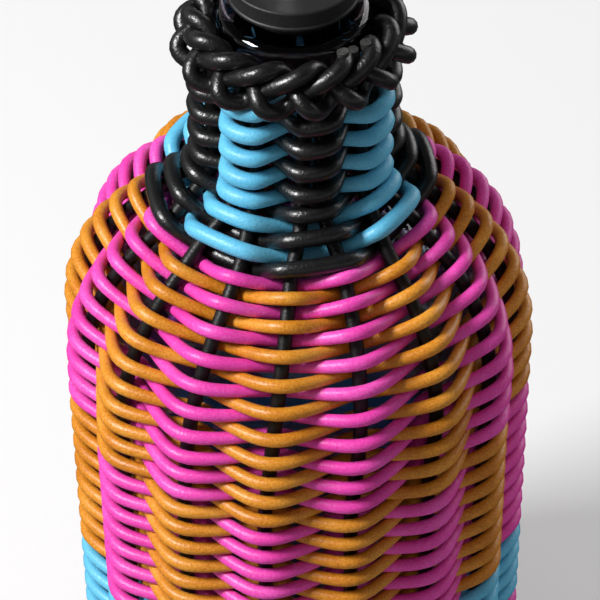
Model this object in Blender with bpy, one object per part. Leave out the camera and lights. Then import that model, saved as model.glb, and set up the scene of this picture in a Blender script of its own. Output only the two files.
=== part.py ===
"""Oil pourer: a glass bottle in a hand-woven cord sleeve, closed by a spout with a weighted flap.

Metres, +Z up. The origin is the centre of the foot, on the surface that the bottle stands on.
The sleeve follows one profile, from the plaited border down the neck and the body and in under
the base. Stakes run along that profile and weavers run round it, over one stake and behind the next.
"""
import math

import bmesh
import bpy
from mathutils import Matrix, Vector

MM = 0.001

# Clearances
GAP = 0.3 * MM
FLAP_GAP = 0.35 * MM

# Cord and stakes
CORD_D = 2.25 * MM
STAKE_D = 3.0 * MM
STAKES = 16
TIP_STRETCH = 1.17
BUTT = 0.08
STAKE_STEP = 35.0 * MM
CHORD_ERROR = 0.14 * MM
FIRST_ROW = 2.45 * MM
ROW_NECK = 2.88 * MM
ROW_SHOULDER = 2.73 * MM
ROW_BODY = 2.75 * MM
ROW_BASE = 2.45 * MM

# Double rows, which each weaver makes once
NECK_TURNS = 7
UPPER_TURNS = 10
MIDDLE_TURNS = 8
BAND_TURNS = 4
LOWER_TURNS = 6
FOOT_TURNS = 2
BASE_TURNS = 2

# Glass bottle
GLASS_NECK_R = 11.5 * MM
GLASS_WALL = 2.4 * MM
GLASS_FLOOR = 4.5 * MM
GLASS_HEEL_R = 5.0 * MM
GLASS_INNER_HEEL_R = 3.8 * MM
PUNT_RISE = 3.0 * MM
PUNT_EDGE_RISE = 1.2 * MM
LIP_R = 15.0 * MM
LIP_HEIGHT = 7.0 * MM
LIP_TOP_Z = 211.6 * MM
LIP_TOP_EDGE = 1.4 * MM
LIP_UNDER_EDGE = 0.6 * MM
LIP_UNDER_RISE = 1.2 * MM
LIP_SIDE_START = 3.0 * MM
MOUTH_EDGE = 0.7 * MM
NECK_CORNER_Z = 172.5 * MM
BODY_CORNER_Z = 144.8 * MM
BODY_R = 40.0 * MM
BASE_Z = 7.0 * MM
NECK_FILLET = 17.0 * MM
BODY_FILLET = 35.5 * MM
FOOT_FILLET = 7.0 * MM
BASE_INNER_R = 13.2 * MM
TWIST = math.radians(-11.8)
TWIST_LENGTH = 100.0 * MM
STAKE_TURN = math.radians(2.6)
PAIR_PINCH = math.radians(4.75)
PAIR_FADE = 12.0 * MM
PAIR_WRAP = math.radians(4.5)

# The stakes that a zone's two weavers start and end behind, for single stakes and for pairs
JOINS = {1: ((1, 1), (-2, -2)), 2: ((7, -1), (1, -3))}

# Foot ring and the crossed rods under the base
FOOT_RING_INSET = 3.6 * MM
FOOT_RING_WIDTH = 5.2 * MM
FOOT_RING_EDGE = 1.4 * MM
BASE_EASE = 0.15 * MM
RODS = 4

# Plaited border
BORDER_R = 20.4 * MM
BORDER_BELOW_LIP = 6.0 * MM
BORDER_WIDTH = 4.6 * MM
BORDER_DEPTH = 2.1 * MM
BORDER_TILT = math.radians(38.0)
BORDER_CROSSINGS = 16
BORDER_STRANDS = 3
BORDER_CORD_D = 2.7 * MM
BORDER_POINTS = 144
BORDER_TO_STAKE = 1.2 * MM

# Pourer
FLANGE_STANDOFF = 3.1 * MM
FLANGE_R = 12.9 * MM
FLANGE_TOP_R = 12.6 * MM
FLANGE_T = 4.2 * MM
FLANGE_LAND = 0.6 * MM
FLANGE_STEP = 0.2 * MM
FLANGE_EDGE = 0.4 * MM
PLUG_L = 25.0 * MM
PLUG_CORE_R = 7.7 * MM
PLUG_FINS = 5
FIN_T = 1.3 * MM
FIN_RAMP = 0.8 * MM
FIN_BACK = 0.4 * MM
CUT_PAST = 2.0 * MM
SPOUT_R = 3.2 * MM
SPOUT_WALL = 0.6 * MM
SPOUT_RISE = 12.0 * MM
SPOUT_BEND_R = 16.0 * MM
SPOUT_BEND = math.radians(48.0)
SPOUT_REACH = 15.0 * MM
SPOUT_TAIL = 2.0 * MM
SPOUT_BEND_STEPS = 6
AIR_R = 1.0 * MM
AIR_BORE = 0.6 * MM
AIR_OFFSET = 5.5 * MM
AIR_ABOVE = 3.0 * MM
AIR_BELOW = 4.0 * MM
COLLAR_R = 4.3 * MM
COLLAR_L = 5.0 * MM
COLLAR_BELOW_MOUTH = 1.0 * MM
LUG_WIDTH = 3.4 * MM
LUG_EMBED = 0.6 * MM
LUG_RISE = 1.0 * MM
LUG_SHOULDER = 0.5 * MM
LUG_NECK_IN = 1.35 * MM
LUG_NECK_OUT = 0.7 * MM
LUG_NECK_LAP = 1.5 * MM
LUG_R = 1.5 * MM
PIN_R = 0.6 * MM
PIN_HEAD_R = 1.1 * MM
PIN_HEAD_T = 0.6 * MM
HINGE_OFFSET = 6.4 * MM
LID_R = 4.1 * MM
LID_T = 0.9 * MM
EAR_T = 0.9 * MM
EAR_R = 1.4 * MM
EAR_RISE = 0.4 * MM
EAR_END = 1.5 * MM
WEIGHT_R = 1.3 * MM
WEIGHT_ARM = 5.4 * MM
WEIGHT_PAST = 0.3 * MM

# Facets
ROUND = 32
SMALL_ROUND = 20
ARC_STEP = 5.0 * MM
PROFILE_STEP = 0.8 * MM

# Derived places
STAKE_R = STAKE_D / 2
CORD_R = CORD_D / 2
WEAVE_IN = STAKE_R + CORD_R + GAP
WEAVE_OUT = WEAVE_IN * TIP_STRETCH
SLEEVE_LIFT = WEAVE_OUT + CORD_R + GAP
NECK_END = FIRST_ROW + 2 * ROW_NECK * NECK_TURNS
NECK_BORE_R = GLASS_NECK_R - GLASS_WALL
FOOT_RING_R = BODY_R - FOOT_RING_INSET
BASE_ROWS_R = FOOT_RING_R - FOOT_RING_WIDTH / 2 - CORD_R
BORDER_Z = LIP_TOP_Z - BORDER_BELOW_LIP
FLANGE_Z = LIP_TOP_Z + FLANGE_STANDOFF
FLANGE_TOP_Z = FLANGE_Z + FLANGE_T
PLUG_TOP_Z = FLANGE_Z - GAP
PLUG_BOTTOM_Z = LIP_TOP_Z - PLUG_L
SPOUT_BORE_R = SPOUT_R + GAP
AIR_HOLE_R = AIR_R + GAP
STEP_ANGLE = 2 * math.pi / STAKES
FIRST_ANGLE = math.pi / 2 - STEP_ANGLE + STAKE_TURN

COLOURS = {
    "glass": ((0.62, 0.66, 0.70), 0.05, 0.0),
    "stake_black": ((0.010, 0.010, 0.011), 0.45, 0.0),
    "cord_black": ((0.012, 0.012, 0.013), 0.45, 0.0),
    "cord_blue": ((0.14, 0.55, 0.87), 0.5, 0.0),
    "cord_magenta": ((0.79, 0.05, 0.44), 0.5, 0.0),
    "cord_orange": ((0.60, 0.23, 0.02), 0.5, 0.0),
    "plastic_black": ((0.035, 0.035, 0.037), 0.6, 0.0),
    "rubber_black": ((0.02, 0.02, 0.02), 0.8, 0.0),
    "steel": ((0.62, 0.62, 0.62), 0.25, 1.0),
}


def material(name):
    """Return the material of that name, made from COLOURS once."""
    found = bpy.data.materials.get(name)
    if found:
        return found
    colour, rough, metal = COLOURS[name]
    made = bpy.data.materials.new(name)
    made.use_nodes = True
    shader = made.node_tree.nodes["Principled BSDF"]
    shader.inputs["Base Color"].default_value = (*colour, 1.0)
    shader.inputs["Roughness"].default_value = rough
    shader.inputs["Metallic"].default_value = metal
    return made


def place(obj, finish, parent=None):
    """Link an object, give it its own copy of a finish, and parent it."""
    bpy.context.scene.collection.objects.link(obj)
    own = material(finish).copy()
    own.name = f"{obj.name}_{finish}"
    obj.data.materials.append(own)
    if parent:
        obj.parent = parent
    return obj


class Profile:
    """A line of straight runs with rounded corners in the (radius, height) plane."""

    def __init__(self, corners, fillets, step=PROFILE_STEP):
        points = [Vector(c) for c in corners]
        dense = [points[0]]
        for before, corner, after, radius in zip(points, points[1:], points[2:], fillets):
            dense += self.round_corner(before, corner, after, radius, step)
        dense.append(points[-1])
        self.points = [dense[0]]
        for end in dense[1:]:
            start = self.points[-1]
            count = max(1, round((end - start).length / step))
            self.points += [start.lerp(end, i / count) for i in range(1, count + 1)]
        self.lengths = [0.0]
        for start, end in zip(self.points, self.points[1:]):
            self.lengths.append(self.lengths[-1] + (end - start).length)
        self.length = self.lengths[-1]

    @staticmethod
    def round_corner(before, corner, after, radius, step):
        """Return the points of the arc that rounds a corner."""
        a = (before - corner).normalized()
        b = (after - corner).normalized()
        half = a.angle(b) / 2
        centre = corner + (a + b).normalized() * (radius / math.sin(half))
        reach = radius / math.tan(half)
        start = corner + a * reach - centre
        turn = math.pi - 2 * half
        if a.x * b.y - a.y * b.x > 0:
            turn = -turn
        count = max(2, round(radius * abs(turn) / step))
        return [centre + Matrix.Rotation(turn * i / count, 2) @ start for i in range(count + 1)]

    def at(self, s):
        """Return the point at length s and the unit normal that points out of the bottle."""
        s = min(max(s, 0.0), self.length)
        low = 0
        high = len(self.lengths) - 1
        while high - low > 1:
            middle = (low + high) // 2
            if self.lengths[middle] <= s:
                low = middle
            else:
                high = middle
        share = (s - self.lengths[low]) / (self.lengths[high] - self.lengths[low])
        point = self.points[low].lerp(self.points[high], share)
        ahead = self.points[min(low + 2, len(self.points) - 1)]
        behind = self.points[max(low - 1, 0)]
        along = (ahead - behind).normalized()
        return point, Vector((-along.y, along.x))


def offset_corners(corners, distance):
    """Shift each run of a line of corners outwards, and return where the shifted runs meet."""
    runs = []
    for start, end in zip(corners, corners[1:]):
        along = (Vector(end) - Vector(start)).normalized()
        shift = Vector((-along.y, along.x)) * distance
        runs.append((Vector(start) + shift, Vector(end) + shift))
    met = [runs[0][0]]
    for (a, b), (c, d) in zip(runs, runs[1:]):
        met.append(crossing(a, b, c, d))
    met.append(runs[-1][1])
    return met


def crossing(a, b, c, d):
    """Where the endless lines a-b and c-d cross."""
    u = b - a
    v = d - c
    share = ((c.x - a.x) * v.y - (c.y - a.y) * v.x) / (u.x * v.y - u.y * v.x)
    return a + u * share


def sleeve_profile():
    """The line of the stakes' centres, from under the border to the middle of the base."""
    top_z = BORDER_Z - BORDER_TO_STAKE
    floor_z = BASE_Z + SLEEVE_LIFT
    glass = [
        (GLASS_NECK_R, top_z), (GLASS_NECK_R, NECK_CORNER_Z), (BODY_R, BODY_CORNER_Z),
        (BODY_R, floor_z), (BASE_INNER_R, floor_z),
    ]
    fillets = (NECK_FILLET - SLEEVE_LIFT, BODY_FILLET + SLEEVE_LIFT, FOOT_FILLET)
    return Profile(offset_corners(glass, SLEEVE_LIFT), fillets)


SLEEVE = sleeve_profile()


def stake_angle(index, s):
    """Angle of a stake at length s; they are counted clockwise, seen from above, from beside the back.

    The stakes lean as they go down, and on the neck they stand closer together in pairs.
    """
    lean = TWIST * min(s / TWIST_LENGTH, 1.0)
    fade = min(max((NECK_END - s) / PAIR_FADE, 0.0), 1.0)
    pinch = PAIR_PINCH * fade * (1 if index % 2 == 0 else -1)
    return FIRST_ANGLE + lean - pinch - index * STEP_ANGLE


def sleeve_point(index, s, lift, turn=0.0):
    """Place on the sleeve: at a stake, at length s, lifted off the stake's own line and turned."""
    flat, normal = SLEEVE.at(s)
    radius = flat.x + normal.x * lift
    height = flat.y + normal.y * lift
    angle = stake_angle(index, s) - turn
    return Vector((radius * math.cos(angle), radius * math.sin(angle), height))


def cord(name, points, radius, finish, resolution=0, cyclic=False):
    """A cord as a curve with a bevel along a row of points."""
    curve = bpy.data.curves.new(name, "CURVE")
    curve.dimensions = "3D"
    curve.twist_mode = "Z_UP"
    curve.bevel_depth = radius
    curve.bevel_resolution = resolution
    curve.use_fill_caps = True
    spline = curve.splines.new("POLY")
    spline.points.add(len(points) - 1)
    for target, point in zip(spline.points, points):
        target.co = (*point, 1.0)
    spline.use_cyclic_u = cyclic
    return place(bpy.data.objects.new(name, curve), finish)


def lathe(name, outline, finish, segments=ROUND, parent=None):
    """Turn a closed outline of (radius, height) corners about a vertical line."""
    mesh = bpy.data.meshes.new(name)
    shape = bmesh.new()
    verts = [shape.verts.new((r, 0.0, z)) for r, z in outline]
    edges = [shape.edges.new(pair) for pair in zip(verts, verts[1:] + verts[:1])]
    bmesh.ops.spin(
        shape, geom=verts + edges, cent=(0.0, 0.0, 0.0), axis=(0.0, 0.0, 1.0),
        angle=2 * math.pi, steps=segments, use_merge=True,
    )
    bmesh.ops.remove_doubles(shape, verts=shape.verts, dist=0.01 * MM)
    bmesh.ops.recalc_face_normals(shape, faces=shape.faces)
    if shape.calc_volume(signed=True) < 0.0:
        bmesh.ops.reverse_faces(shape, faces=shape.faces)
    shape.to_mesh(mesh)
    shape.free()
    mesh.shade_smooth()
    mesh.set_sharp_from_angle(angle=math.radians(35))
    return place(bpy.data.objects.new(name, mesh), finish, parent)


def weave_rows(name, start_s, turns, row, over_even, finish, group=1, inner_lift=WEAVE_IN):
    """One weaver: a helix of double rows, over a group of stakes and behind the next group.

    It starts and ends behind a stake, so that the weaver of the next zone can meet it there.
    """
    first, end = JOINS[group][0 if over_even else 1]
    last = end + turns * STAKES
    points = []
    for index in range(first, last + 1):
        over = (index // group % 2 == 0) == over_even
        lift = WEAVE_OUT if over else -inner_lift
        wrap = PAIR_WRAP * (-1 if index % 2 == 0 else 1)
        if group == 1 or index == last:
            wrap = 0.0
        points.append(sleeve_point(index, start_s + 2 * row * index / STAKES, lift, wrap))
    points[0] = points[0].lerp(points[1], BUTT)
    points[-1] = points[-1].lerp(points[-2], BUTT)
    return cord(name, points, CORD_R, finish)


def weave_zone(name, start_s, turns, row, first_finish, second_finish, group=1):
    """Two weavers that chase each other round: one over the stakes that the other goes behind.

    The first goes over the even stakes or pairs. Returns the length at which the next zone starts.
    """
    one, other = (finish.split("_")[1] for finish in (first_finish, second_finish))
    tag = "" if one != other else "second_"
    weave_rows(f"{name}_{one}_weaver", start_s, turns, row, True, first_finish, group)
    weave_rows(f"{name}_{tag}{other}_weaver", start_s + row, turns, row, False, second_finish, group)
    return start_s + 2 * row * turns


def make_sleeve_weave():
    """Every woven zone of the sleeve, from the border down to the foot."""
    s = weave_zone("neck", FIRST_ROW, NECK_TURNS, ROW_NECK, "cord_blue", "cord_black", 2)
    s = weave_zone("upper", s, UPPER_TURNS, ROW_SHOULDER, "cord_magenta", "cord_orange")
    s = weave_zone("middle", s, MIDDLE_TURNS, ROW_BODY, "cord_orange", "cord_magenta")
    s = weave_zone("band", s, BAND_TURNS, ROW_BODY, "cord_blue", "cord_blue")
    s = weave_zone("lower", s, LOWER_TURNS, ROW_BODY, "cord_orange", "cord_magenta")
    weave_zone("foot", s, FOOT_TURNS, ROW_BODY, "cord_black", "cord_black")


def make_base_weave():
    """Two weavers that go round flat under the base, inside the foot ring."""
    start_s = SLEEVE.length - (BASE_ROWS_R - BASE_INNER_R)
    for name, shift, over_even in (("base_weaver", 0.0, True), ("base_second_weaver", ROW_BASE, False)):
        weave_rows(
            name, start_s + shift, BASE_TURNS, ROW_BASE, over_even, "cord_black",
            inner_lift=WEAVE_OUT + BASE_EASE,
        )


def next_length(start):
    """The next length for a stake's point: where it turns aside, or as far as the chord stays close."""
    end = min(start + STAKE_STEP, SLEEVE.length)
    for turn in (NECK_END - PAIR_FADE, NECK_END, TWIST_LENGTH):
        if start < turn < end:
            end = turn
    while end - start > MM:
        chord_middle = (SLEEVE.at(start)[0] + SLEEVE.at(end)[0]) / 2
        if (chord_middle - SLEEVE.at((start + end) / 2)[0]).length < CHORD_ERROR:
            return end
        end -= MM / 2
    return end


def make_stakes():
    """The upright cords that the weavers pass over and behind, each bent in under the base."""
    lengths = [0.0]
    while lengths[-1] < SLEEVE.length:
        lengths.append(next_length(lengths[-1]))
    for index in range(STAKES):
        points = [sleeve_point(index, s, 0.0) for s in lengths]
        cord(f"stake_{index + 1:02d}", points, STAKE_R, "stake_black", resolution=1)


def make_border():
    """The plaited border round the neck: three strands of one cord, closed on themselves."""
    waves = BORDER_CROSSINGS / BORDER_STRANDS
    points = []
    for i in range(BORDER_POINTS):
        angle = 2 * math.pi * BORDER_STRANDS * i / BORDER_POINTS
        across = BORDER_WIDTH * math.sin(waves * angle)
        out = BORDER_DEPTH * math.sin(2 * waves * angle)
        radius = BORDER_R + across * math.sin(BORDER_TILT) + out * math.cos(BORDER_TILT)
        height = BORDER_Z - across * math.cos(BORDER_TILT) + out * math.sin(BORDER_TILT)
        points.append(Vector((radius * math.cos(angle), radius * math.sin(angle), height)))
    cord("plaited_border", points, BORDER_CORD_D / 2, "cord_black", resolution=0, cyclic=True)


def make_foot():
    """The foot ring that the bottle stands on, and the rods that cross under the base."""
    inner = FOOT_RING_R - FOOT_RING_WIDTH / 2
    outer = FOOT_RING_R + FOOT_RING_WIDTH / 2
    top = BASE_Z - STAKE_R - GAP
    edge = FOOT_RING_EDGE
    outline = [
        (inner + edge, 0.0), (outer - edge, 0.0), (outer, edge), (outer, top - edge),
        (outer - edge, top), (inner + edge, top), (inner, top - edge), (inner, edge),
    ]
    lathe("foot_ring", outline, "cord_black")
    pitch = STAKE_D + GAP
    for layer, lift, turned in (("lower", -pitch / 2, False), ("upper", pitch / 2, True)):
        for i in range(RODS):
            side = (i - (RODS - 1) / 2) * pitch
            half = math.sqrt((BASE_INNER_R - GAP) ** 2 - (abs(side) + STAKE_R) ** 2)
            ends = [(end, side) if turned else (side, end) for end in (-half, half)]
            points = [Vector((x, y, BASE_Z + lift)) for x, y in ends]
            cord(f"base_rod_{layer}_{i + 1}", points, STAKE_R, "stake_black", resolution=1)


def make_glass():
    """The bottle: a blown wall of even thickness, open at the lip, with a punt under the floor."""
    heel_z = BASE_Z + SLEEVE_LIFT
    floor_z = heel_z + GLASS_FLOOR
    lip_low = LIP_TOP_Z - LIP_HEIGHT
    bore = NECK_BORE_R
    corners = [
        Vector((GLASS_NECK_R, lip_low)), Vector((GLASS_NECK_R, NECK_CORNER_Z)),
        Vector((BODY_R, BODY_CORNER_Z)), Vector((BODY_R, heel_z)),
        Vector((BODY_R / 2, heel_z + PUNT_EDGE_RISE)),
    ]
    outer = rounded(corners, (NECK_FILLET, BODY_FILLET, GLASS_HEEL_R))
    inner_corners = offset_corners(corners[:-1], -GLASS_WALL)[:-1]
    inner_corners += [
        Vector((BODY_R - GLASS_WALL, floor_z)), Vector((BODY_R / 2, floor_z + PUNT_EDGE_RISE)),
    ]
    fillets = (NECK_FILLET + GLASS_WALL, BODY_FILLET - GLASS_WALL, GLASS_INNER_HEEL_R)
    inner = rounded(inner_corners, fillets)
    lip = [
        (LIP_R - LIP_UNDER_EDGE, lip_low + LIP_UNDER_RISE), (LIP_R, lip_low + LIP_SIDE_START),
        (LIP_R, LIP_TOP_Z - LIP_TOP_EDGE), (LIP_R - LIP_TOP_EDGE, LIP_TOP_Z),
        (bore + MOUTH_EDGE, LIP_TOP_Z), (bore, LIP_TOP_Z - MOUTH_EDGE),
    ]
    outline = [(0.0, heel_z + PUNT_RISE)]
    outline += [(p.x, p.y) for p in reversed(outer)]
    outline += lip
    outline += [(p.x, p.y) for p in inner]
    outline += [(0.0, floor_z + PUNT_RISE)]
    lathe("glass_bottle", outline, "glass")


def rounded(corners, fillets):
    """Return a line of corners with its inner corners rounded."""
    points = [corners[0]]
    for before, corner, after, radius in zip(corners, corners[1:], corners[2:], fillets):
        points += Profile.round_corner(before, corner, after, radius, ARC_STEP)
    points.append(corners[-1])
    return points


def cutter(name, radius, x, low, high):
    """An upright round cutter, which the build leaves out."""
    mesh = bpy.data.meshes.new(name)
    shape = bmesh.new()
    bmesh.ops.create_cone(
        shape, cap_ends=True, segments=SMALL_ROUND, radius1=radius, radius2=radius, depth=high - low,
        matrix=Matrix.Translation((x, 0.0, (low + high) / 2)),
    )
    shape.to_mesh(mesh)
    shape.free()
    obj = bpy.data.objects.new(name, mesh)
    obj.hide_render = True
    obj.display_type = "WIRE"
    bpy.context.scene.collection.objects.link(obj)
    return obj


def boolean(target, tool, operation):
    """Cut or join a tool into a target with a live Boolean."""
    modifier = target.modifiers.new(f"{operation.lower()} {tool.name}", "BOOLEAN")
    modifier.operation = operation
    modifier.solver = "EXACT"
    modifier.use_self = True
    modifier.object = tool


def make_stopper(pourer):
    """The flange over the lip and the finned rubber plug in the neck, bored for the two tubes."""
    bore = SPOUT_BORE_R
    top = FLANGE_TOP_Z
    flange = lathe("pourer_flange", [
        (bore, FLANGE_Z), (FLANGE_R, FLANGE_Z), (FLANGE_R, FLANGE_Z + FLANGE_LAND),
        (FLANGE_TOP_R, FLANGE_Z + FLANGE_LAND + FLANGE_STEP), (FLANGE_TOP_R, top - FLANGE_EDGE),
        (FLANGE_TOP_R - FLANGE_EDGE, top), (bore, top),
    ], "plastic_black", parent=pourer)
    fin_r = NECK_BORE_R - GAP
    outline = [(bore, PLUG_BOTTOM_Z), (PLUG_CORE_R, PLUG_BOTTOM_Z)]
    pitch = (PLUG_L - 2 * FIN_T) / PLUG_FINS
    for i in range(PLUG_FINS):
        low = PLUG_BOTTOM_Z + FIN_T + i * pitch
        outline += [
            (PLUG_CORE_R, low), (fin_r, low + FIN_RAMP), (fin_r, low + FIN_T),
            (PLUG_CORE_R, low + FIN_T + FIN_BACK),
        ]
    outline += [(PLUG_CORE_R, PLUG_TOP_Z), (bore, PLUG_TOP_Z)]
    plug = lathe("rubber_plug", outline, "rubber_black", segments=SMALL_ROUND, parent=pourer)
    hole = cutter("air_hole_cutter", AIR_HOLE_R, -AIR_OFFSET, PLUG_BOTTOM_Z - CUT_PAST, top + CUT_PAST)
    boolean(flange, hole, "DIFFERENCE")
    boolean(plug, hole, "DIFFERENCE")


def sweep_pipe(name, points, radius, wall, finish, parent, segments=16):
    """An open pipe with a bore, swept in the XZ plane along a row of points."""
    mesh = bpy.data.meshes.new(name)
    shape = bmesh.new()
    rings = []
    for i, point in enumerate(points):
        along = (points[min(i + 1, len(points) - 1)] - points[max(i - 1, 0)]).normalized()
        side = Vector((0.0, 1.0, 0.0))
        up = along.cross(side)
        for r in (radius, radius - wall):
            ring = []
            for j in range(segments):
                t = 2 * math.pi * j / segments
                ring.append(shape.verts.new(point + side * (r * math.cos(t)) + up * (r * math.sin(t))))
            rings.append(ring)
    outer = rings[0::2]
    inner = rings[1::2]
    for skin in (outer, inner):
        for low, high in zip(skin, skin[1:]):
            for j in range(segments):
                k = (j + 1) % segments
                shape.faces.new((low[j], low[k], high[k], high[j]))
    for end in (0, -1):
        for j in range(segments):
            k = (j + 1) % segments
            shape.faces.new((outer[end][j], outer[end][k], inner[end][k], inner[end][j]))
    bmesh.ops.recalc_face_normals(shape, faces=shape.faces)
    shape.to_mesh(mesh)
    shape.free()
    mesh.shade_smooth()
    mesh.set_sharp_from_angle(angle=math.radians(40))
    return place(bpy.data.objects.new(name, mesh), finish, parent)


def spout_end():
    """The middle of the spout's mouth and the direction that it points in."""
    start_z = FLANGE_TOP_Z + SPOUT_RISE
    x = SPOUT_BEND_R * (1 - math.cos(SPOUT_BEND))
    z = start_z + SPOUT_BEND_R * math.sin(SPOUT_BEND)
    along = Vector((math.sin(SPOUT_BEND), 0.0, math.cos(SPOUT_BEND)))
    return Vector((x, 0.0, z)) + along * SPOUT_REACH, along


def make_tubes(pourer):
    """The steel spout through the plug, and the thin tube that lets air back in."""
    start_z = FLANGE_TOP_Z + SPOUT_RISE
    low = PLUG_BOTTOM_Z - SPOUT_TAIL
    points = [Vector((0.0, 0.0, low)), Vector((0.0, 0.0, start_z))]
    for i in range(1, SPOUT_BEND_STEPS + 1):
        t = SPOUT_BEND * i / SPOUT_BEND_STEPS
        points.append(Vector((
            SPOUT_BEND_R * (1 - math.cos(t)), 0.0, start_z + SPOUT_BEND_R * math.sin(t),
        )))
    points.append(spout_end()[0])
    sweep_pipe("pour_spout", points, SPOUT_R, SPOUT_WALL, "steel", pourer)
    ends = (PLUG_BOTTOM_Z - AIR_BELOW, FLANGE_TOP_Z + AIR_ABOVE)
    air = [Vector((-AIR_OFFSET, 0.0, z)) for z in ends]
    sweep_pipe("air_tube", air, AIR_R, AIR_R - AIR_BORE, "steel", pourer, segments=12)


def frame_at(origin, along):
    """A frame whose Z runs along the spout and whose Y is the hinge's own direction."""
    y = Vector((0.0, 1.0, 0.0))
    x = y.cross(along)
    turn = Matrix((x, y, along)).transposed().to_4x4()
    return Matrix.Translation(origin) @ turn


def add_box(shape, frame, low, high):
    """Add a box between two corners of a frame to a bmesh."""
    size = Vector(high) - Vector(low)
    middle = (Vector(high) + Vector(low)) / 2
    matrix = frame @ Matrix.Translation(middle) @ Matrix.Diagonal((*size, 1.0))
    bmesh.ops.create_cube(shape, size=1.0, matrix=matrix)


def add_rod(shape, frame, centre, radius, length, axis="Z", segments=SMALL_ROUND):
    """Add a round rod about a frame's Z or Y to a bmesh."""
    turn = Matrix.Rotation(math.pi / 2, 4, "X") if axis == "Y" else Matrix.Identity(4)
    bmesh.ops.create_cone(
        shape, cap_ends=True, segments=segments, radius1=radius, radius2=radius, depth=length,
        matrix=frame @ Matrix.Translation(centre) @ turn,
    )


def solid(name, finish, parent, origin, build, hidden=False):
    """Make an object with its origin at a place, from a function that fills a bmesh."""
    mesh = bpy.data.meshes.new(name)
    shape = bmesh.new()
    build(shape)
    bmesh.ops.translate(shape, verts=shape.verts, vec=-origin)
    bmesh.ops.recalc_face_normals(shape, faces=shape.faces)
    shape.to_mesh(mesh)
    shape.free()
    obj = bpy.data.objects.new(name, mesh)
    if hidden:
        obj.hide_render = True
        obj.display_type = "WIRE"
        bpy.context.scene.collection.objects.link(obj)
    else:
        place(obj, finish)
    if parent:
        obj.parent = parent
    obj.location = origin - (parent.location if parent else Vector())
    return obj


def make_flap(pourer):
    """The flap over the mouth, the collar that carries it, its pin and its weight."""
    mouth, along = spout_end()
    frame = frame_at(mouth, along)
    hinge_local = Vector((-HINGE_OFFSET, 0.0, FLAP_GAP + LID_T / 2))
    hinge = frame @ hinge_local
    collar_top = -COLLAR_BELOW_MOUTH
    collar_low = collar_top - COLLAR_L
    collar_middle = Vector((0.0, 0.0, collar_low + COLLAR_L / 2))

    def collar_body(shape):
        add_rod(shape, frame, collar_middle, COLLAR_R, COLLAR_L, segments=24)

    def lug_body(shape):
        half = LUG_WIDTH / 2
        add_box(
            shape, frame, (-HINGE_OFFSET, -half, collar_low + LUG_RISE),
            (-SPOUT_R - LUG_EMBED, half, collar_top - LUG_SHOULDER),
        )
        add_box(
            shape, frame, (-HINGE_OFFSET - LUG_NECK_OUT, -half, collar_top - LUG_NECK_LAP),
            (-HINGE_OFFSET + LUG_NECK_IN, half, hinge_local.z),
        )
        add_rod(shape, frame, hinge_local, LUG_R, LUG_WIDTH, axis="Y")

    def bore_body(shape):
        add_rod(shape, frame, collar_middle, SPOUT_BORE_R, COLLAR_L * 3, segments=24)

    def pin_hole(shape):
        add_rod(shape, frame, hinge_local, PIN_R + GAP, LUG_WIDTH * 4, axis="Y", segments=16)

    def solids(build, name):
        return solid(name, "", None, hinge, build, hidden=True)

    hole = solids(pin_hole, "pin_hole_cutter")
    collar = solid("flap_collar", "steel", pourer, hinge, collar_body)
    boolean(collar, solids(lug_body, "lug_guide"), "UNION")
    boolean(collar, solids(bore_body, "collar_bore_cutter"), "DIFFERENCE")
    boolean(collar, hole, "DIFFERENCE")

    flap = bpy.data.objects.new("flap_axis", None)
    flap.location = hinge
    bpy.context.scene.collection.objects.link(flap)
    flap.parent = pourer
    ear_low = LUG_WIDTH / 2 + GAP
    ear_high = ear_low + EAR_T

    def lid_body(shape):
        add_rod(shape, frame, Vector((0.0, 0.0, FLAP_GAP + LID_T / 2)), LID_R, LID_T, segments=24)

    def ears_body(shape):
        for sign in (-1, 1):
            low, high = sorted((sign * ear_low, sign * ear_high))
            top = FLAP_GAP + LID_T
            add_box(shape, frame, (-HINGE_OFFSET, low, FLAP_GAP), (-EAR_END, high, top + EAR_RISE))
            middle = Vector((hinge_local.x, (low + high) / 2, hinge_local.z))
            add_rod(shape, frame, middle, EAR_R, EAR_T, axis="Y")
            arm = -HINGE_OFFSET - WEIGHT_ARM
            add_box(shape, frame, (arm, low, FLAP_GAP), (-HINGE_OFFSET, high, top))

    def weight_body(shape):
        middle = Vector((-HINGE_OFFSET - WEIGHT_ARM, 0.0, hinge_local.z))
        add_rod(shape, frame, middle, WEIGHT_R, 2 * (ear_high + WEIGHT_PAST), axis="Y")

    lid = solid("flap_lid", "steel", pourer, hinge, lid_body)
    lid.parent = flap
    lid.location = Vector()
    boolean(lid, solids(ears_body, "ear_guide"), "UNION")
    boolean(lid, solids(weight_body, "weight_guide"), "UNION")
    boolean(lid, hole, "DIFFERENCE")

    def pin_body(shape):
        length = 2 * (ear_high + GAP)
        add_rod(shape, frame, hinge_local, PIN_R, length, axis="Y", segments=16)

    def heads_body(shape):
        for sign in (-1, 1):
            middle = hinge_local + Vector((0.0, sign * (ear_high + GAP + PIN_HEAD_T / 2), 0.0))
            add_rod(shape, frame, middle, PIN_HEAD_R, PIN_HEAD_T * 1.02, axis="Y", segments=16)

    pin = solid("flap_pin", "steel", pourer, hinge, pin_body)
    boolean(pin, solids(heads_body, "pin_head_guide"), "UNION")
    return hinge


def clear_scene():
    """Remove what the file opened with."""
    for obj in list(bpy.data.objects):
        bpy.data.objects.remove(obj, do_unlink=True)


def main():
    """Build the whole oil pourer."""
    clear_scene()
    make_glass()
    make_sleeve_weave()
    make_base_weave()
    make_stakes()
    make_border()
    make_foot()
    pourer = bpy.data.objects.new("pourer_axis", None)
    bpy.context.scene.collection.objects.link(pourer)
    make_stopper(pourer)
    make_tubes(pourer)
    hinge = make_flap(pourer)
    print("flap hinge", [round(v, 6) for v in hinge])


main()
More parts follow.
